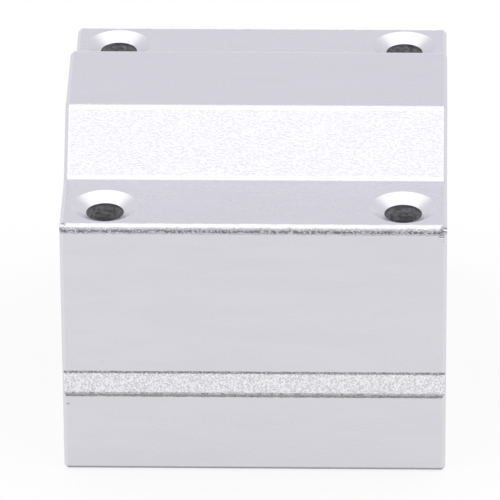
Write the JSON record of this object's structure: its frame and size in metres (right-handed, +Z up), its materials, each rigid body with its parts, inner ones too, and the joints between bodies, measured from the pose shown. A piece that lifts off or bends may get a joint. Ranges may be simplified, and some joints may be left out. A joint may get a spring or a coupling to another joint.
{
  "type": "linear bearing block",
  "caption": "Milled aluminium block with a raised crown, sloped sides and countersunk screw holes in its shoulders, holding a recirculating ball bearing for a round shaft.",
  "frame": {"origin": "centre of the mounting face that the block stands on", "axes": "+X along the shaft, +Y across the block over its screw holes, +Z up from the mounting face to the crown"},
  "size_m": [0.044, 0.05, 0.038],
  "materials": {
    "housing": "milled faces, blasted slopes and side grooves",
    "bearing_steel": "ground",
    "balls": "polished",
    "cage": "moulded",
    "seal": "moulded",
    "end_ring": "pressed",
    "circlip": "blackened spring steel"
  },
  "bodies": {
    "root": {"housing_block": "housing", "bearing_sleeve": "bearing_steel", "ball_cage": "cage", "bearing_seal_left": "seal", "end_ring_left": "end_ring", "circlip_left": "circlip", "bearing_seal_right": "seal", "end_ring_right": "end_ring", "circlip_right": "circlip", "loaded_balls_1": "balls", "turn_balls_1": "balls", "return_balls_1": "balls", "loaded_balls_2": "balls", "turn_balls_2": "balls", "return_balls_2": "balls", "loaded_balls_3": "balls", "turn_balls_3": "balls", "return_balls_3": "balls", "loaded_balls_4": "balls", "turn_balls_4": "balls", "return_balls_4": "balls", "loaded_balls_5": "balls", "turn_balls_5": "balls", "return_balls_5": "balls"}
  },
  "joints": []
}
